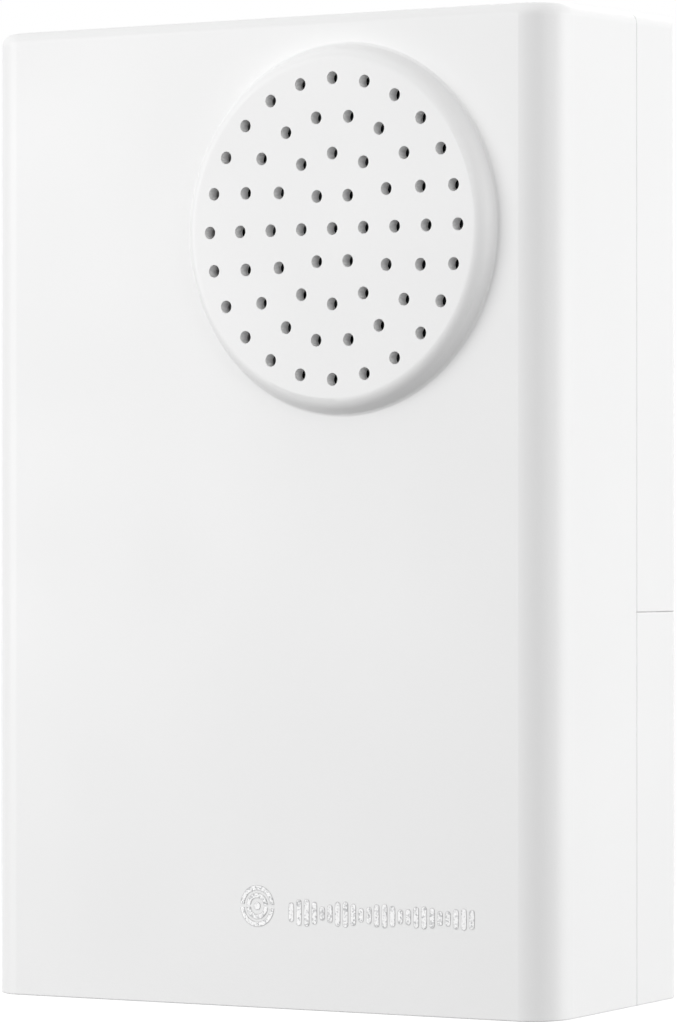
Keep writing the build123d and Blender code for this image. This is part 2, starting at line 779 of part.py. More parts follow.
def electrolytic_capacitor():
    """The round can that stands on the board."""
    x = board_right - can_radius - part_spacing
    z = board_high - can_radius - part_spacing
    can = rod(can_radius, x, z, board_y, board_y + can_height)
    return fillet(can.edges().filter_by(GeomType.CIRCLE), can_edge_radius)


def ceramic_capacitor():
    """The small disc capacitor on its two wires."""
    x = board_right - part_edge
    z = small_parts_z
    middle = board_y + part_lead_height + disc_radius
    body = Pos(x, middle, z) * Cylinder(disc_radius, disc_thickness)
    body = fillet(body.edges().filter_by(GeomType.CIRCLE), disc_edge_radius)
    for side in (-1, 1):
        body += rod(part_lead_radius, x + side * disc_radius / 2, z, board_y, middle)
    return body


def transistor():
    """The half-round transistor on its three wires."""
    x = board_left + part_edge
    z = small_parts_z
    low = board_y + part_lead_height
    body = rod(transistor_radius, x, z, low, low + transistor_height)
    body -= block((x - transistor_radius, x + transistor_radius), (low, low + transistor_height),
                  (z + transistor_flat, z + transistor_radius))
    for step in (-1, 0, 1):
        body += rod(part_lead_radius, x + step * transistor_lead_pitch, z, board_y, low + part_lead_height)
    return body


def resistor(z):
    """A resistor that lies across the board, with its wires bent down at both ends."""
    x = terminal_x
    lift = board_y + resistor_radius + part_lead_radius
    span = resistor_lead_span / 2
    body = Pos(x, lift, z) * Rot(0, 90, 0) * Cylinder(resistor_radius, resistor_length)
    body = fillet(body.edges().filter_by(GeomType.CIRCLE), resistor_edge_radius)
    ends = [(x - span, board_y, z), (x - span, lift, z), (x + span, lift, z), (x + span, board_y, z)]
    path = FilletPolyline(*ends, radius=resistor_bend_radius)
    section = Plane(origin=path @ 0, z_dir=path % 0) * Circle(part_lead_radius)
    return body + sweep(section, path=path)


def resistors():
    """The row of resistors between the terminal block and the transistor."""
    rows = [resistor_low_z + resistor_pitch * step for step in range(resistor_count)]
    return Compound(children=[resistor(z) for z in rows])


def terminal_places():
    """The x of each way of the terminal block."""
    return [terminal_x + side * terminal_pitch / 2 for side in (-1, 1)]


def terminal_block():
    """The two-way block: wires enter from below, screws are reached from the back."""
    high_y = board_y + terminal_height
    middle_z = terminal_low + terminal_depth / 2
    body = block((terminal_x - terminal_width / 2, terminal_x + terminal_width / 2), (board_y, high_y),
                 (terminal_low, terminal_low + terminal_depth))
    half = terminal_entry / 2
    for x in terminal_places():
        body -= rod(terminal_screw_radius + snug_gap, x, middle_z, board_y + terminal_entry, high_y)
        entry_x = (x - half, x + half)
        entry_y = (board_y + terminal_floor, board_y + terminal_floor + terminal_entry)
        body -= block(entry_x, entry_y, (terminal_low, middle_z + half))
    return body


def terminal_clamps():
    """The brass jaws behind the wire entries."""
    half = terminal_entry / 2 - snug_gap
    low = board_y + terminal_floor
    middle_y = low + terminal_entry / 2
    middle_z = terminal_low + terminal_depth / 2
    way_half = terminal_wire_way / 2
    jaws = []
    for x in terminal_places():
        jaw_z = (middle_z - half, middle_z + half)
        jaw = block((x - half, x + half), (middle_y - half, middle_y + half), jaw_z)
        jaw -= block((x - way_half, x + way_half), (middle_y - way_half, middle_y + way_half), jaw_z)
        jaws.append(jaw)
    return Compound(children=jaws)


def terminal_screws():
    """The slotted screws of the terminal block."""
    middle_z = terminal_low + terminal_depth / 2
    low = board_y + terminal_floor + terminal_entry
    high = board_y + terminal_height - terminal_screw_sink
    radius = terminal_screw_radius
    slot = radius * recess_slot_share
    slotted = []
    for x in terminal_places():
        slot_y = (high - terminal_slot_depth, high)
        screw = rod(radius, x, middle_z, low, high)
        screw -= block((x - radius, x + radius), slot_y, (middle_z - slot, middle_z + slot))
        slotted.append(screw)
    return Compound(children=slotted)


def battery_lead(z, order):
    """A lead from a contact's tab, under the bay and up to the front of the board."""
    start_x = -bay_inner_x + contact_thickness
    under_y = (seat_y + bay_front_y) / 2
    rise_x = start_x + battery_lead_first_run + order * battery_lead_pitch
    pad_z = board_low + battery_lead_pad_height
    return tube([
        (start_x, under_y, z),
        (rise_x, under_y, z),
        (rise_x, under_y, pad_z),
        (rise_x, board_front_y, pad_z),
    ], lead_radius)


def speaker_lead(place):
    """A lead that arches from a lug to the board's edge."""
    x, z = place
    start_y = strip_y + strip_thickness + lug_thickness
    pad_x = board_right - speaker_lead_pad_inset
    top_y = start_y + speaker_lead_rise
    return tube([
        (x, start_y, z),
        (x, top_y, z),
        (pad_x, top_y, z),
        (pad_x, board_y, z),
    ], lead_radius)


lugs = lug_places()

parts = {
    "front_cover": front_cover(),
    "rear_cover": rear_cover(),
    "battery_cover": battery_cover(),
    "case_screws": case_screws(),
    "cell_upper": cell(upper_cell_z, 1),
    "cell_lower": cell(lower_cell_z, -1),
    "negative_contact": end_contact(upper_cell_z),
    "positive_contact": end_contact(lower_cell_z),
    "bridge_contact": bridge_contact(),
    "negative_spring": contact_spring(upper_cell_z, -1),
    "bridge_spring": contact_spring(lower_cell_z, 1),
    "speaker_gasket": speaker_gasket(),
    "speaker_frame": speaker_frame(),
    "speaker_yoke": speaker_yoke(),
    "speaker_magnet": speaker_magnet(),
    "pole_plate": pole_plate(),
    "voice_coil": voice_coil(),
    "speaker_cone": speaker_cone(),
    "terminal_strip": terminal_strip(),
    "solder_lugs": solder_lugs(),
    "speaker_screws": speaker_screws(),
    "circuit_board": circuit_board(),
    "board_screws": board_screws(),
    "chip_blob": chip_blob(),
    "electrolytic_capacitor": electrolytic_capacitor(),
    "ceramic_capacitor": ceramic_capacitor(),
    "transistor": transistor(),
    "resistors": resistors(),
    "terminal_block": terminal_block(),
    "terminal_clamps": terminal_clamps(),
    "terminal_screws": terminal_screws(),
    "battery_lead_negative": battery_lead(upper_cell_z, 0),
    "battery_lead_positive": battery_lead(lower_cell_z, 1),
    "speaker_lead_a": speaker_lead(lugs[0]),
    "speaker_lead_b": speaker_lead(lugs[1]),
}

os.makedirs("parts", exist_ok=True)
for name, shape in parts.items():
    export_step(shape, f"parts/{name}.step")
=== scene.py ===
import bpy
import numpy as np
from math import pi, radians
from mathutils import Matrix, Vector
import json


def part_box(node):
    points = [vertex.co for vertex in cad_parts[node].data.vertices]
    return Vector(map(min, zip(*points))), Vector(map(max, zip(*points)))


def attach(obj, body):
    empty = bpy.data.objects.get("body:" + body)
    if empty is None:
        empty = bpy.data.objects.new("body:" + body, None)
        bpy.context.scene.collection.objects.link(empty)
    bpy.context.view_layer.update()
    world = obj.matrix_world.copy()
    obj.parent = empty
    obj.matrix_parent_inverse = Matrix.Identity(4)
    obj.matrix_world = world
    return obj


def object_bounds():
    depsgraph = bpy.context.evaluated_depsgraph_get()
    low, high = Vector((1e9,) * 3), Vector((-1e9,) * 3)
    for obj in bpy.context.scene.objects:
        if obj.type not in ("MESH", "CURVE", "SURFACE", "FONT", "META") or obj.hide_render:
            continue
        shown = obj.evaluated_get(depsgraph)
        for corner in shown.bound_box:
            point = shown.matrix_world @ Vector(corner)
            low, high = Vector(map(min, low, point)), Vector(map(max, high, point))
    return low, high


# Looks of a wall-mounted door chime. Lengths are in metres, in the frame of the CAD model:
# X to the right, Y into the wall, Z up, with the origin on the wall face.
mm = 0.001

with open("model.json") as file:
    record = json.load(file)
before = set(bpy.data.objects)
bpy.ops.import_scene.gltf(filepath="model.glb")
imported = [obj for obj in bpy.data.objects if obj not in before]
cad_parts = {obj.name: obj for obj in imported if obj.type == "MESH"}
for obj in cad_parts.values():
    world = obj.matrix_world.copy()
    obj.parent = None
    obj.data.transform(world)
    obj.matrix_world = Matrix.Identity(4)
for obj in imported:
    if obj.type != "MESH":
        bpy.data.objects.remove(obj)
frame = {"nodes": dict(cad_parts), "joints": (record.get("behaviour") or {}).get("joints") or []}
cad_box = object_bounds()
nodes = frame["nodes"]


def linear(hex_colour):
    """An sRGB hex colour as linear red, green, blue and full alpha."""
    srgb = np.array([int(hex_colour[i:i + 2], 16) for i in (1, 3, 5)]) / 255
    values = np.where(srgb <= 0.04045, srgb / 12.92, ((srgb + 0.055) / 1.055) ** 2.4)
    return (*values.tolist(), 1.0)


def add(tree, kind, inputs=None, **settings):
    """Adds a node. Each input is joined where its value is a socket and set where it is a number or colour.

    A mix of two colours takes its factor at 0, its low colour at 6 and its high one at 7, and gives output 2.
    """
    new = tree.nodes.new(kind)
    for name, value in settings.items():
        setattr(new, name, value)
    for name, value in (inputs or {}).items():
        if isinstance(value, bpy.types.NodeSocket):
            tree.links.new(value, new.inputs[name])
        else:
            new.inputs[name].default_value = value
    return new


def middle_of(node):
    """The middle of a CAD node's box at rest."""
    low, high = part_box(node)
    return (low + high) / 2


def begin(name, roughness, metallic=0.0, ior=1.5):
    """A new material: returns it with its tree, its shader and the object coordinates."""
    material = bpy.data.materials.new(name)
    material.use_nodes = True
    tree = material.node_tree
    shader = tree.nodes["Principled BSDF"]
    shader.inputs["Roughness"].default_value = roughness
    shader.inputs["Metallic"].default_value = metallic
    shader.inputs["IOR"].default_value = ior
    return material, tree, shader, add(tree, "ShaderNodeTexCoord").outputs["Object"]


def moulded(name, colour, second, roughness, grain, depth, ior=1.53, drift=18 * mm):
    """Moulded or cast plastic: a fine skin of the grain's size, and a faint drift of tone and gloss.

    Where the real grain is too fine to show, the one given is the finest that does.
    """
    material, tree, shader, place = begin(name, roughness, ior=ior)
    flow = add(tree, "ShaderNodeTexNoise", {"Vector": place, "Scale": 1 / drift, "Detail": 1.0})
    skin = add(tree, "ShaderNodeTexNoise", {"Vector": place, "Scale": 1 / grain, "Detail": 2.0})
    tone = add(tree, "ShaderNodeMix", {0: flow.outputs["Fac"], 6: linear(colour),
                                       7: linear(second)}, data_type="RGBA")
    tree.links.new(tone.outputs[2], shader.inputs["Base Color"])
    sheen = add(tree, "ShaderNodeMapRange", {"Value": flow.outputs["Fac"], "To Min": roughness - 0.04,
                                             "To Max": roughness + 0.04})
    tree.links.new(sheen.outputs["Result"], shader.inputs["Roughness"])
    bump = add(tree, "ShaderNodeBump", {"Height": skin.outputs["Fac"], "Strength": 0.5, "Distance": depth})
    tree.links.new(bump.outputs["Normal"], shader.inputs["Normal"])
    return material


def metal(name, colour, second, roughness, grain, depth, stretch=(1, 1, 1)):
    """A metal skin: two tones in cloudy patches, and marks of the grain's size, drawn out along an axis.

    Real marks are about 0.05 mm wide. They are drawn at 0.2 to 0.4 mm, because finer ones don't show.
    """
    material, tree, shader, place = begin(name, roughness, metallic=1.0)
    cloud = add(tree, "ShaderNodeTexNoise", {"Vector": place, "Scale": 1 / (12 * grain), "Detail": 3.0})
    drawn = add(tree, "ShaderNodeMapping", {"Vector": place, "Scale": stretch})
    marks = add(tree, "ShaderNodeTexNoise", {"Vector": drawn.outputs["Vector"], "Scale": 1 / grain,
                                             "Detail": 3.0})
    tone = add(tree, "ShaderNodeMix", {0: cloud.outputs["Fac"], 6: linear(colour),
                                       7: linear(second)}, data_type="RGBA")
    tree.links.new(tone.outputs[2], shader.inputs["Base Color"])
    sheen = add(tree, "ShaderNodeMapRange", {"Value": marks.outputs["Fac"], "To Min": roughness - 0.08,
                                             "To Max": roughness + 0.08})
    tree.links.new(sheen.outputs["Result"], shader.inputs["Roughness"])
    bump = add(tree, "ShaderNodeBump", {"Height": marks.outputs["Fac"], "Strength": 0.4, "Distance": depth})
    tree.links.new(bump.outputs["Normal"], shader.inputs["Normal"])
    return material


def give(material, *names):
    """Puts a material on CAD nodes, in every slot of their objects."""
    for name in names:
        for entry in nodes[name].material_slots:
            entry.material = material


# Injection-moulded ABS. Its mould is spark-eroded, so the satin skin breaks up the highlights finely.
# The real grain is about 0.05 mm. It is drawn at 0.22 mm, the finest that shows.
white_abs = moulded("abs_moulded_white", "#F2F2F2", "#EFEFEF", 0.42, 0.22 * mm, 0.012 * mm)
give(white_abs, "front_cover", "rear_cover", "battery_cover")


def screw_steel(name, head_y, pitch):
    """Zinc plating over steel: bright and faintly blue.

    From head_y towards the wall lies the head. The shank before it has rolled threads of the given pitch.
    """
    material = metal(name, "#9BA1A7", "#B0B4B8", 0.34, 0.3 * mm, 0.004 * mm)
    tree = material.node_tree
    place = next(n for n in tree.nodes if n.type == "TEX_COORD").outputs["Object"]
    split = add(tree, "ShaderNodeSeparateXYZ", {"Vector": place})
    turn = add(tree, "ShaderNodeMath", {0: split.outputs["Y"], 1: 2 * pi / pitch}, operation="MULTIPLY")
    ridge = add(tree, "ShaderNodeMath", {0: turn.outputs[0]}, operation="SINE")
    shank = add(tree, "ShaderNodeMath", {0: split.outputs["Y"], 1: head_y}, operation="LESS_THAN")
    thread = add(tree, "ShaderNodeMath", {0: ridge.outputs[0], 1: shank.outputs[0]}, operation="MULTIPLY")
    shader = tree.nodes["Principled BSDF"]
    skin = shader.inputs["Normal"].links[0].from_socket
    bump = add(tree, "ShaderNodeBump", {"Height": thread.outputs[0], "Strength": 0.8,
                                        "Distance": 0.12 * mm, "Normal": skin})
    tree.links.new(bump.outputs["Normal"], shader.inputs["Normal"])
    return material


give(screw_steel("steel_zinc_plated_case", head_y=-3.4 * mm, pitch=1.0 * mm), "case_screws")
give(screw_steel("steel_zinc_plated_speaker", head_y=-19.7 * mm, pitch=0.6 * mm), "speaker_screws")
give(screw_steel("steel_zinc_plated_board", head_y=-14.1 * mm, pitch=0.6 * mm), "board_screws")
give(screw_steel("steel_zinc_plated_terminal", head_y=-9.0 * mm, pitch=0.5 * mm), "terminal_screws")

# Nickel-plated spring steel: warm and bright, with marks drawn out along Z from rolling.
nickel = metal("steel_nickel_plated", "#CFC9BC", "#E0DCD2", 0.24, 0.2 * mm, 0.003 * mm, stretch=(1, 1, 0.15))
give(nickel, "negative_contact", "positive_contact", "bridge_contact", "negative_spring", "bridge_spring")


def cell_jacket(name, node, side):
    """A shrunk plastic jacket on a dry cell: glossy and green, light near the positive end, with bare ends.

    The distance from the cell's axis tells the bare steel from the jacket. The distance along X from its
    middle, towards the positive end on the given side, places the light ring and the line before it.
    """
    bare_radius = 5.6 * mm
    ring_start = 14.5 * mm
    line_middle = 13.3 * mm
    line_half_width = 0.35 * mm
    light_print = linear("#C9CDD0")
    middle = middle_of(node)
    material, tree, shader, place = begin(name, 0.3)
    moved = add(tree, "ShaderNodeVectorMath", {0: place, 1: tuple(middle)}, operation="SUBTRACT")
    split = add(tree, "ShaderNodeSeparateXYZ", {"Vector": moved.outputs["Vector"]})
    flat = add(tree, "ShaderNodeCombineXYZ", {"Y": split.outputs["Y"], "Z": split.outputs["Z"]})
    radius = add(tree, "ShaderNodeVectorMath", {0: flat.outputs["Vector"]}, operation="LENGTH")
    bare = add(tree, "ShaderNodeMath", {0: radius.outputs["Value"], 1: bare_radius}, operation="LESS_THAN")
    along = add(tree, "ShaderNodeMath", {0: split.outputs["X"], 1: side}, operation="MULTIPLY")
    ring = add(tree, "ShaderNodeMath", {0: along.outputs[0], 1: ring_start}, operation="GREATER_THAN")
    line = add(tree, "ShaderNodeMath", {0: along.outputs[0], 1: line_middle, 2: line_half_width},
               operation="COMPARE")
    print_grain = add(tree, "ShaderNodeTexNoise", {"Vector": place, "Scale": 1 / (4 * mm), "Detail": 2.0})
    body = add(tree, "ShaderNodeMix", {0: print_grain.outputs["Fac"], 6: linear("#1F6A4A"),
                                       7: linear("#237353")}, data_type="RGBA")
    banded = add(tree, "ShaderNodeMix", {0: ring.outputs[0], 6: body.outputs[2],
                                         7: light_print}, data_type="RGBA")
    lined = add(tree, "ShaderNodeMix", {0: line.outputs[0], 6: banded.outputs[2],
                                        7: light_print}, data_type="RGBA")
    tone = add(tree, "ShaderNodeMix", {0: bare.outputs[0], 6: lined.outputs[2],
                                       7: linear("#D5D3CE")}, data_type="RGBA")
    tree.links.new(tone.outputs[2], shader.inputs["Base Color"])
    tree.links.new(bare.outputs[0], shader.inputs["Metallic"])
    wrinkle = add(tree, "ShaderNodeTexNoise", {"Vector": place, "Scale": 1 / (2.5 * mm), "Detail": 1.0})
    bump = add(tree, "ShaderNodeBump", {"Height": wrinkle.outputs["Fac"], "Strength": 0.3,
                                        "Distance": 0.02 * mm})
    tree.links.new(bump.outputs["Normal"], shader.inputs["Normal"])
    return material


give(cell_jacket("jacket_printed_upper", "cell_upper", 1.0), "cell_upper")
give(cell_jacket("jacket_printed_lower", "cell_lower", -1.0), "cell_lower")


def ringed(name, node, colour, second, roughness, pitch, depth):
    """Turned stock: rings of the given pitch about the node's own axis along Y.

    A wave texture at scale 1 repeats every 2 pi / 20, which the scale brings to the pitch.
    """
    middle = middle_of(node)
    material, tree, shader, place = begin(name, roughness, metallic=1.0)
    moved = add(tree, "ShaderNodeMapping", {"Vector": place, "Location": tuple(-middle)})
    rings = add(tree, "ShaderNodeTexWave", {"Vector": moved.outputs["Vector"], "Scale": 2 * pi / (20 * pitch),
                                            "Distortion": 0.2}, wave_type="RINGS", rings_direction="Y")
    cloud = add(tree, "ShaderNodeTexNoise", {"Vector": place, "Scale": 1 / (3 * mm), "Detail": 3.0})
    tone = add(tree, "ShaderNodeMix", {0: cloud.outputs["Fac"], 6: linear(colour),
                                       7: linear(second)}, data_type="RGBA")
    tree.links.new(tone.outputs[2], shader.inputs["Base Color"])
    bump = add(tree, "ShaderNodeBump", {"Height": rings.outputs["Fac"], "Strength": 0.5, "Distance": depth})
    tree.links.new(bump.outputs["Normal"], shader.inputs["Normal"])
    return material


# Low-carbon steel turned on a lathe, under clear passivation, so it is grey with fine tool rings.
for label, part in (("steel_turned_yoke", "speaker_yoke"), ("steel_turned_pole", "pole_plate")):
    give(ringed(label, part, "#9A9C9F", "#B2B4B6", 0.34, 0.25 * mm, 0.01 * mm), part)
# A sintered magnet under nickel: darker than the steel round it, with a pitted skin.
give(metal("magnet_nickel_coated", "#6C6D70", "#808285", 0.30, 0.35 * mm, 0.008 * mm), "speaker_magnet")
# Pressed steel blackened in a bath: a dull black with slight scuffs.
give(metal("steel_pressed_black", "#1B1C1F", "#2A2B2E", 0.46, 0.4 * mm, 0.006 * mm), "speaker_frame")


def foam_skin(name):
    """Open foam: dull black, with round cells about 0.3 mm across, sunk by a bump, and darker inside as
    painted shade in their hollows.
    """
    material, tree, shader, place = begin(name, 0.95)
    cells = add(tree, "ShaderNodeTexVoronoi", {"Vector": place, "Scale": 1 / (0.3 * mm)})
    tone = add(tree, "ShaderNodeMix", {0: cells.outputs["Distance"], 6: linear("#121213"),
                                       7: linear("#2B2B2D")}, data_type="RGBA")
    tree.links.new(tone.outputs[2], shader.inputs["Base Color"])
    bump = add(tree, "ShaderNodeBump", {"Height": cells.outputs["Distance"], "Strength": 1.0,
                                        "Distance": 0.08 * mm})
    tree.links.new(bump.outputs["Normal"], shader.inputs["Normal"])
    return material


give(foam_skin("foam_fine_black"), "speaker_gasket")


def wound_wire(name):
    """Enamelled copper: turns of wire stacked along Y, each rounded by a sine of the wire's pitch. The same
    sine paints the copper darker between turns and lighter on their crests, as painted shade and painted
    highlight.
    """
    pitch = 0.2 * mm
    material, tree, shader, place = begin(name, 0.32, metallic=0.9)
    split = add(tree, "ShaderNodeSeparateXYZ", {"Vector": place})
    turn = add(tree, "ShaderNodeMath", {0: split.outputs["Y"], 1: 2 * pi / pitch}, operation="MULTIPLY")
    ridge = add(tree, "ShaderNodeMath", {0: turn.outputs[0]}, operation="SINE")
    share = add(tree, "ShaderNodeMapRange", {"Value": ridge.outputs[0], "From Min": -1.0})
    tone = add(tree, "ShaderNodeMix", {0: share.outputs["Result"], 6: linear("#7A3A1C"),
                                       7: linear("#C97A45")}, data_type="RGBA")
    tree.links.new(tone.outputs[2], shader.inputs["Base Color"])
    bump = add(tree, "ShaderNodeBump", {"Height": share.outputs["Result"], "Strength": 0.7,
                                        "Distance": 0.05 * mm})
    tree.links.new(bump.outputs["Normal"], shader.inputs["Normal"])
    return material


give(wound_wire("copper_enamelled_winding"), "voice_coil")


def formed_film(name):
    """Polyester film formed hot over a die: smoky, glossy, with radial ribs from the die."""
    rib_count = 48.0
    middle = middle_of("speaker_cone")
    material, tree, shader, place = begin(name, 0.22, ior=1.6)
    moved = add(tree, "ShaderNodeVectorMath", {0: place, 1: tuple(middle)}, operation="SUBTRACT")
    split = add(tree, "ShaderNodeSeparateXYZ", {"Vector": moved.outputs["Vector"]})
    angle = add(tree, "ShaderNodeMath", {0: split.outputs["Z"], 1: split.outputs["X"]}, operation="ARCTAN2")
    turns = add(tree, "ShaderNodeMath", {0: angle.outputs[0], 1: rib_count}, operation="MULTIPLY")
    ribs = add(tree, "ShaderNodeMath", {0: turns.outputs[0]}, operation="SINE")
    haze = add(tree, "ShaderNodeTexNoise", {"Vector": place, "Scale": 1 / (5 * mm), "Detail": 2.0})
    tone = add(tree, "ShaderNodeMix", {0: haze.outputs["Fac"], 6: linear("#3A3D42"),
                                       7: linear("#4B4E53")}, data_type="RGBA")
    tree.links.new(tone.outputs[2], shader.inputs["Base Color"])
    bump = add(tree, "ShaderNodeBump", {"Height": ribs.outputs[0], "Strength": 0.4, "Distance": 0.05 * mm})
    tree.links.new(bump.outputs["Normal"], shader.inputs["Normal"])
    return material


give(formed_film("polyester_film_formed"), "speaker_cone")


def paper_board(name):
    """Phenolic paper board: brown resin with the paper's fibres drawn out along Z."""
    material, tree, shader, place = begin(name, 0.5)
    drawn = add(tree, "ShaderNodeMapping", {"Vector": place, "Scale": (1.0, 1.0, 0.2)})
    fibres = add(tree, "ShaderNodeTexNoise", {"Vector": drawn.outputs["Vector"], "Scale": 1 / (0.2 * mm),
                                              "Detail": 4.0})
    tone = add(tree, "ShaderNodeMix", {0: fibres.outputs["Fac"], 6: linear("#7C5428"),
                                       7: linear("#A87B42")}, data_type="RGBA")
    tree.links.new(tone.outputs[2], shader.inputs["Base Color"])
    bump = add(tree, "ShaderNodeBump", {"Height": fibres.outputs["Fac"], "Strength": 0.4,
                                        "Distance": 0.02 * mm})
    tree.links.new(bump.outputs["Normal"], shader.inputs["Normal"])
    return material


give(paper_board("phenolic_paper_board"), "terminal_strip")
# Tin over brass: dull and white, softly mottled where the solder ran.
give(metal("brass_tinned", "#B9BABA", "#D2D1CD", 0.38, 0.25 * mm, 0.01 * mm), "solder_lugs")


def masked_board(name):
    """Solder mask over copper: the tracks show as lighter green, and the sawn edge shows bare glass board.

    A brick pattern's mortar is the tracks. The edge is told by its normal, which has no part along Y.
    """
    track_half_width = 0.18 * mm
    material, tree, shader, place = begin(name, 0.3)
    turned = add(tree, "ShaderNodeMapping", {"Vector": place, "Rotation": (-pi / 2, 0, 0)})
    tracks = add(tree, "ShaderNodeTexBrick", {
        "Vector": turned.outputs["Vector"], "Color1": linear("#0F4A2B"), "Color2": linear("#12502F"),
        "Mortar": linear("#2A7A4A"), "Scale": 1.0, "Mortar Size": track_half_width, "Mortar Smooth": 0.1,
        "Brick Width": 5.2 * mm, "Row Height": 2.1 * mm})
    normal = add(tree, "ShaderNodeNewGeometry").outputs["Normal"]
    split = add(tree, "ShaderNodeSeparateXYZ", {"Vector": normal})
    across = add(tree, "ShaderNodeMath", {0: split.outputs["Y"]}, operation="ABSOLUTE")
    edge = add(tree, "ShaderNodeMath", {0: across.outputs[0], 1: 0.5}, operation="LESS_THAN")
    tone = add(tree, "ShaderNodeMix", {0: edge.outputs[0], 6: tracks.outputs["Color"],
                                       7: linear("#B9B27E")}, data_type="RGBA")
    tree.links.new(tone.outputs[2], shader.inputs["Base Color"])
    bump = add(tree, "ShaderNodeBump", {"Height": tracks.outputs["Fac"], "Strength": 0.4,
                                        "Distance": 0.03 * mm})
    tree.links.new(bump.outputs["Normal"], shader.inputs["Normal"])
    return material


give(masked_board("board_green_mask"), "circuit_board")
# Epoxy poured over the chip and cured: black, glossy, with slow ripples from its flow.
give(moulded("epoxy_cured_black", "#0A0A0B", "#131314", 0.14, 2.5 * mm, 0.05 * mm, ior=1.55), "chip_blob")


def sleeved_can(name):
    """An aluminium can in a dark sleeve: a light stripe marks the negative side, and the end is bare metal.

    The stripe lies within some radians of X, round the can's axis, and the bare end within a radius of it.
    """
    bare_radius = 2.5 * mm
    stripe_half_turn = 0.45
    middle = middle_of("electrolytic_capacitor")
    material, tree, shader, place = begin(name, 0.34)
    moved = add(tree, "ShaderNodeVectorMath", {0: place, 1: tuple(middle)}, operation="SUBTRACT")
    split = add(tree, "ShaderNodeSeparateXYZ", {"Vector": moved.outputs["Vector"]})
    flat = add(tree, "ShaderNodeCombineXYZ", {"X": split.outputs["X"], "Z": split.outputs["Z"]})
    radius = add(tree, "ShaderNodeVectorMath", {0: flat.outputs["Vector"]}, operation="LENGTH")
    bare = add(tree, "ShaderNodeMath", {0: radius.outputs["Value"], 1: bare_radius}, operation="LESS_THAN")
    angle = add(tree, "ShaderNodeMath", {0: split.outputs["Z"], 1: split.outputs["X"]}, operation="ARCTAN2")
    stripe = add(tree, "ShaderNodeMath", {0: angle.outputs[0], 1: 0.0, 2: stripe_half_turn},
                 operation="COMPARE")
    haze = add(tree, "ShaderNodeTexNoise", {"Vector": place, "Scale": 1 / (2 * mm), "Detail": 2.0})
    sleeve = add(tree, "ShaderNodeMix", {0: haze.outputs["Fac"], 6: linear("#1A2030"),
                                         7: linear("#232A3C")}, data_type="RGBA")
    striped = add(tree, "ShaderNodeMix", {0: stripe.outputs[0], 6: sleeve.outputs[2],
                                          7: linear("#B8BCC4")}, data_type="RGBA")
    tone = add(tree, "ShaderNodeMix", {0: bare.outputs[0], 6: striped.outputs[2],
                                       7: linear("#C8CACC")}, data_type="RGBA")
    tree.links.new(tone.outputs[2], shader.inputs["Base Color"])
    tree.links.new(bare.outputs[0], shader.inputs["Metallic"])
    return material


give(sleeved_can("aluminium_can_sleeved"), "electrolytic_capacitor")
# Ceramic disc dipped in resin: ochre, softly glossy, uneven where the coat gathered.
give(moulded("ceramic_dipped_ochre", "#B0682A", "#C67C36", 0.35, 0.6 * mm, 0.03 * mm), "ceramic_capacitor")
# Epoxy moulding compound: charcoal and dull, with a fine sand from its silica filler.
give(moulded("epoxy_compound_charcoal", "#17181A", "#202123", 0.62, 0.15 * mm, 0.01 * mm), "transistor")


def lacquered(name):
    """Tan lacquer over a resistor, ringed with colours along X, and tinned wire past its ends."""
    ring_pitch = 1.3 * mm
    ring_half_width = 0.36 * mm
    body_half_length = 2.82 * mm
    middle = middle_of("resistors")
    material, tree, shader, place = begin(name, 0.38)
    split = add(tree, "ShaderNodeSeparateXYZ", {"Vector": place})
    haze = add(tree, "ShaderNodeTexNoise", {"Vector": place, "Scale": 1 / (1 * mm), "Detail": 2.0})
    tone = add(tree, "ShaderNodeMix", {0: haze.outputs["Fac"], 6: linear("#C9AE78"),
                                       7: linear("#D5BC88")}, data_type="RGBA")
    for step, ring in ((-1.5, "#7A3B1E"), (-0.5, "#161616"), (0.5, "#A8231C"), (1.6, "#B08A36")):
        x = middle.x + step * ring_pitch
        band = add(tree, "ShaderNodeMath", {0: split.outputs["X"], 1: x, 2: ring_half_width},
                   operation="COMPARE")
        tone = add(tree, "ShaderNodeMix", {0: band.outputs[0], 6: tone.outputs[2],
                                           7: linear(ring)}, data_type="RGBA")
    offset = add(tree, "ShaderNodeMath", {0: split.outputs["X"], 1: middle.x}, operation="SUBTRACT")
    reach = add(tree, "ShaderNodeMath", {0: offset.outputs[0]}, operation="ABSOLUTE")
    wire = add(tree, "ShaderNodeMath", {0: reach.outputs[0], 1: body_half_length}, operation="GREATER_THAN")
    tone = add(tree, "ShaderNodeMix", {0: wire.outputs[0], 6: tone.outputs[2],
                                       7: linear("#C4C4C2")}, data_type="RGBA")
    tree.links.new(tone.outputs[2], shader.inputs["Base Color"])
    tree.links.new(wire.outputs[0], shader.inputs["Metallic"])
    return material


give(lacquered("lacquer_tan_ringed"), "resistors")
# Glass-filled nylon for terminals: a clear green with a dry satin skin.
give(moulded("nylon_moulded_green", "#1E7A45", "#23854D", 0.4, 0.25 * mm, 0.012 * mm), "terminal_block")
# Brass clamps cut from bar: yellow with saw marks along Y.
give(metal("brass_bar_cut", "#C9A257", "#D9B56C", 0.3, 0.2 * mm, 0.005 * mm, stretch=(1, 0.2, 1)),
     "terminal_clamps")
# PVC insulation, extruded: soft sheen, faint waves along the wire.
give(moulded("pvc_extruded_red", "#A81E1C", "#B92824", 0.36, 0.5 * mm, 0.01 * mm), "battery_lead_positive")
give(moulded("pvc_extruded_black", "#141415", "#1D1D1E", 0.36, 0.5 * mm, 0.01 * mm), "battery_lead_negative")
give(moulded("pvc_extruded_white", "#DADAD6", "#E4E4E0", 0.36, 0.5 * mm, 0.01 * mm), "speaker_lead_a")
give(moulded("pvc_extruded_blue", "#27458E", "#2F509E", 0.36, 0.5 * mm, 0.01 * mm), "speaker_lead_b")


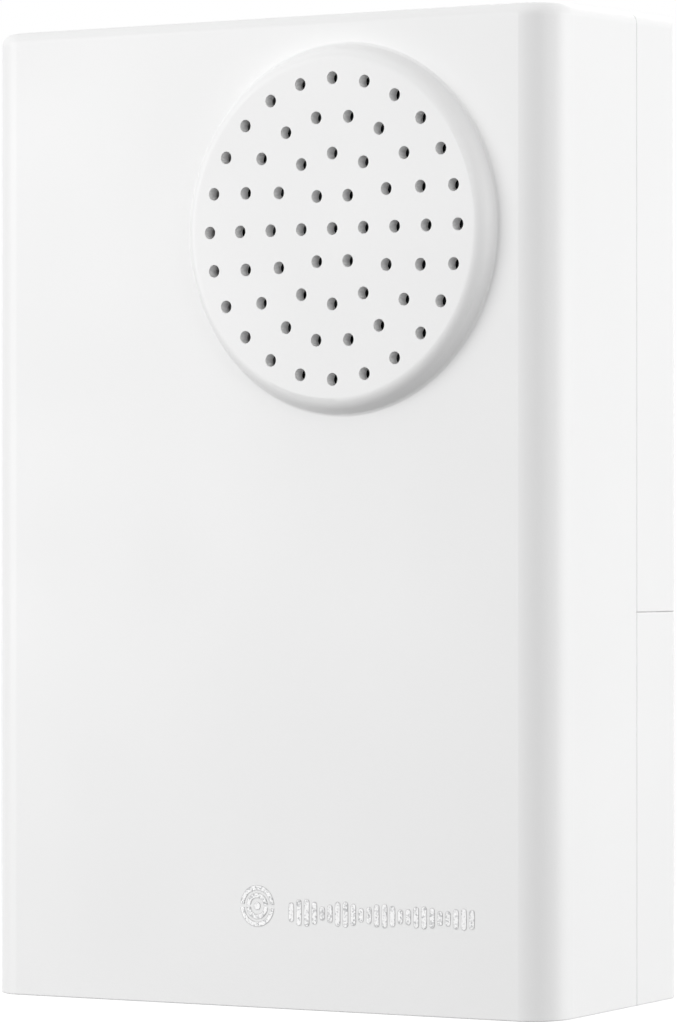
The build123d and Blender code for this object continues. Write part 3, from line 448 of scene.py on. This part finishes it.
def foil(name):
    """Hot-stamped silver foil: pale flakes, with grey ones where the foil didn't take.

    The flakes are Voronoi cells, drawn 0.16 mm across because real ones are too fine to show. A cell's own
    chance value picks its tone, which turns grey above 0.55.
    """
    material, tree, shader, place = begin(name, 0.5, metallic=0.35)
    flakes = add(tree, "ShaderNodeTexVoronoi", {"Vector": place, "Scale": 1 / (0.16 * mm)})
    split = add(tree, "ShaderNodeSeparateXYZ", {"Vector": flakes.outputs["Color"]})
    missed = add(tree, "ShaderNodeMapRange", {"Value": split.outputs["X"], "From Min": 0.55, "From Max": 1.0})
    tone = add(tree, "ShaderNodeMix", {0: missed.outputs["Result"], 6: linear("#DCDCDC"),
                                       7: linear("#A2A3A4")}, data_type="RGBA")
    tree.links.new(tone.outputs[2], shader.inputs["Base Color"])
    tilt = add(tree, "ShaderNodeTexNoise", {"Vector": place, "Scale": 1 / (0.12 * mm), "Detail": 2.0})
    bump = add(tree, "ShaderNodeBump", {"Height": tilt.outputs["Fac"], "Strength": 0.7,
                                        "Distance": 0.03 * mm})
    tree.links.new(bump.outputs["Normal"], shader.inputs["Normal"])
    return material


# Where the front face lies, and how far inside it the stamp starts.
face_y = -22.7 * mm
stamp_root = 0.02 * mm


def stamped(name, outlines, rise):
    """Flat stamped shapes on the front face, one for each outline.

    An outline is a closed ring of (x, z) points in millimetres, anticlockwise from the front. It is
    carried from a little inside the face to the given rise before it, and closed at both ends. A wall
    joins each point to the next one round.
    """
    points, faces = np.empty((0, 3)), []
    for outline in outlines:
        ring = np.asarray(outline) * mm
        ahead = np.roll(np.arange(len(ring)), -1)
        back = len(points) + np.arange(len(ring))
        front = back + len(ring)
        levels = [np.insert(ring, 1, y, axis=1) for y in (face_y + stamp_root, face_y - rise)]
        points = np.concatenate([points, *levels])
        faces += [front.tolist(), back[::-1].tolist()]
        faces += np.stack([back, back[ahead], front[ahead], front], axis=1).tolist()
    mesh = bpy.data.meshes.new(name)
    mesh.from_pydata(points.tolist(), [], faces)
    piece = bpy.data.objects.new(name, mesh)
    bpy.context.scene.collection.objects.link(piece)
    return piece


def bar(x, z, half_width, half_height):
    """An upright bar with round ends: two half circles joined by straight sides."""
    turn = np.linspace(0, pi, 9)
    upper = np.stack([np.cos(turn), np.sin(turn)], 1) * half_width + (0, half_height - half_width)
    return np.concatenate([upper, -upper]) + (x, z)


def dot(x, z, radius):
    """A round dot about (x, z): points at even angles on a circle."""
    turn = np.linspace(0, 2 * pi, 16, endpoint=False)
    return np.stack([np.cos(turn), np.sin(turn)], 1) * radius + (x, z)


def half_ring(x, z, radius, half_width, side):
    """Half of a ring about (x, z), upper or lower: its outer arc one way and its inner arc back.

    Each half stops a little short of the other, by the share that is left of half a turn.
    """
    reach = 0.47 * pi
    turn = side * pi / 2 + np.linspace(-reach, reach, 33)
    ring = np.stack([np.cos(turn), np.sin(turn)], 1)
    return np.concatenate([ring * (radius + half_width), ring[::-1] * (radius - half_width)]) + (x, z)


def sound_mark(grow):
    """A dot in two split rings, then a row of bars, all grown by a margin. Its sizes are in millimetres.

    The bars' half heights are a base and the size of a sine, which fades along the row as a chime does.
    """
    dot_x, dot_z, dot_radius = -0.3, -36.95, 0.34
    ring_radii, ring_half_width = (1.0, 1.72), 0.19
    row_x, row_z, bar_pitch, bar_half_width, bar_count = 3.6, -37.4, 0.88, 0.26, 24
    base, swing, turn, start, fade = 0.5, 0.8, 0.62, 0.5, 40
    steps = np.arange(bar_count)
    heights = base + swing * np.abs(np.sin(steps * turn + start)) * np.exp(-steps / fade)
    shapes = [dot(dot_x, dot_z, dot_radius + grow)]
    shapes += [half_ring(dot_x, dot_z, radius, ring_half_width + grow, side)
               for radius in ring_radii for side in (-1, 1)]
    shapes += [bar(row_x + bar_pitch * step, row_z, bar_half_width + grow, height + grow)
               for step, height in zip(steps.tolist(), heights.tolist())]
    return shapes


# The stamp leaves the foil a little proud. Round each shape lies a lower grey rim, which is painted shade
# standing for the shadow along the stamp's edge.
rim_width = 0.07
mark = stamped("sound_mark", sound_mark(grow=0.0), rise=0.035 * mm)
mark.data.materials.append(foil("foil_hot_stamped_silver"))
rim = stamped("sound_mark_painted_shade", sound_mark(grow=rim_width), rise=0.012 * mm)
# The rim's darker grey is painted shade along the foil's edge, not a colour of the plastic.
rim.data.materials.append(moulded("abs_painted_edge_shade", "#C9C9C9", "#D6D6D6", 0.6, 0.12 * mm, 0.01 * mm))
for piece, finish in ((mark, "tinned_brass"), (rim, "white_abs")):
    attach(piece, "case")

# Camera: a long lens from the right, level with the middle of the case. Its focal length was solved in
# pixels of the picture's height, and the sensor's height turns that to millimetres.
focal_pixels = 5972.4
picture_height = 1024
camera_data = bpy.data.cameras.new("camera")
camera_data.sensor_fit = "VERTICAL"
camera_data.sensor_height = 36.0
camera_data.lens = focal_pixels / picture_height * camera_data.sensor_height
camera_data.clip_start = 0.01
camera_data.clip_end = 50.0
camera = bpy.data.objects.new("camera", camera_data)
camera.location = (0.3256, -0.4792, -0.0031)
camera.rotation_euler = (radians(90.32), 0.0, radians(34.745))
bpy.context.scene.collection.objects.link(camera)
bpy.context.scene.camera = camera


def softbox(name, place, aim, size, power):
    """A square lamp of the given side in metres and power in watts, turned towards a point."""
    data = bpy.data.lights.new(name, "AREA")
    data.shape = "SQUARE"
    data.size = size
    data.energy = power
    lamp = bpy.data.objects.new(name, data)
    lamp.location = place
    lamp.rotation_euler = (Vector(aim) - Vector(place)).to_track_quat("-Z", "Y").to_euler()
    bpy.context.scene.collection.objects.link(lamp)


# Lamps: the key from the left, a weak one before the case, two for its right side and one behind it.
case_middle = (0.0, -0.01, 0.01)
softbox("lamp_left", (-0.45, -0.45, 0.10), case_middle, 0.35, 2.08)
softbox("lamp_near", (0.526, -0.329, 0.10), case_middle, 0.25, 0.45)
softbox("lamp_right", (0.55, 0.15, 0.04), case_middle, 0.36, 1.25)
softbox("lamp_right_rear", (0.45, 0.40, 0.08), case_middle, 0.40, 0.47)
softbox("lamp_behind", (-0.20, 0.80, 0.35), case_middle, 0.60, 2.0)

# Studio surround: an even light on the object, and plain white where the camera or a reflection looks past
# it, because a strength of 1 is white.
surround_strength = 0.71
white_strength = 1.0
world = bpy.data.worlds.new("studio")
world.use_nodes = True
bpy.context.scene.world = world
surround = world.node_tree
surround.nodes.clear()
path = add(surround, "ShaderNodeLightPath")
seen = add(surround, "ShaderNodeMath", {0: path.outputs["Is Camera Ray"], 1: path.outputs["Is Glossy Ray"]},
           operation="MAXIMUM")
seen = add(surround, "ShaderNodeMath", {0: seen.outputs[0], 1: path.outputs["Is Transmission Ray"]},
           operation="MAXIMUM")
strength = add(surround, "ShaderNodeMapRange", {"Value": seen.outputs[0], "To Min": surround_strength,
                                                "To Max": white_strength})
glow = add(surround, "ShaderNodeBackground", {"Color": (1.0, 1.0, 1.0, 1.0),
                                              "Strength": strength.outputs["Result"]})
add(surround, "ShaderNodeOutputWorld", {"Surface": glow.outputs["Background"]})


def pale_floor(name):
    """Matt pale paper. Where the camera or a reflection sees it, it glows, so that it meets the white."""
    glow_strength = 0.84
    material, tree, shader, place = begin(name, 0.9)
    fibre = add(tree, "ShaderNodeTexNoise", {"Vector": place, "Scale": 1 / (2 * mm), "Detail": 2.0})
    tone = add(tree, "ShaderNodeMix", {0: fibre.outputs["Fac"], 6: linear("#7D7D7D"),
                                       7: linear("#818181")}, data_type="RGBA")
    tree.links.new(tone.outputs[2], shader.inputs["Base Color"])
    shader.inputs["Specular IOR Level"].default_value = 0.0
    shader.inputs["Emission Color"].default_value = (1.0, 1.0, 1.0, 1.0)
    route = add(tree, "ShaderNodeLightPath")
    looked = add(tree, "ShaderNodeMath", {0: route.outputs["Is Camera Ray"],
                                          1: route.outputs["Is Glossy Ray"]}, operation="MAXIMUM")
    looked = add(tree, "ShaderNodeMath", {0: looked.outputs[0], 1: route.outputs["Is Transmission Ray"]},
                 operation="MAXIMUM")
    lift = add(tree, "ShaderNodeMath", {0: looked.outputs[0], 1: glow_strength}, operation="MULTIPLY")
    tree.links.new(lift.outputs[0], shader.inputs["Emission Strength"])
    return material


def sheet_floor(name, half, height):
    """A level square, its four corners at plus and minus half."""
    mesh = bpy.data.meshes.new(name)
    corners = [(-half, -half, height), (half, -half, height), (half, half, height), (-half, half, height)]
    mesh.from_pydata(corners, [], [(0, 1, 2, 3)])
    piece = bpy.data.objects.new(name, mesh)
    piece.data.materials.append(pale_floor("paper_pale"))
    bpy.context.scene.collection.objects.link(piece)
    return piece


# The chime hangs on a wall, so the floor lies below the lowest place that its battery cover reaches.
cover_travel = next(j["range_m"][1] for j in frame["joints"] if j["name"] == "cover_slide")
floor_half = 4.0
floor_clearance = 10 * mm
sheet_floor("floor", floor_half, cad_box[0][2] - cover_travel - floor_clearance)

bpy.context.scene.view_settings.view_transform = "Standard"
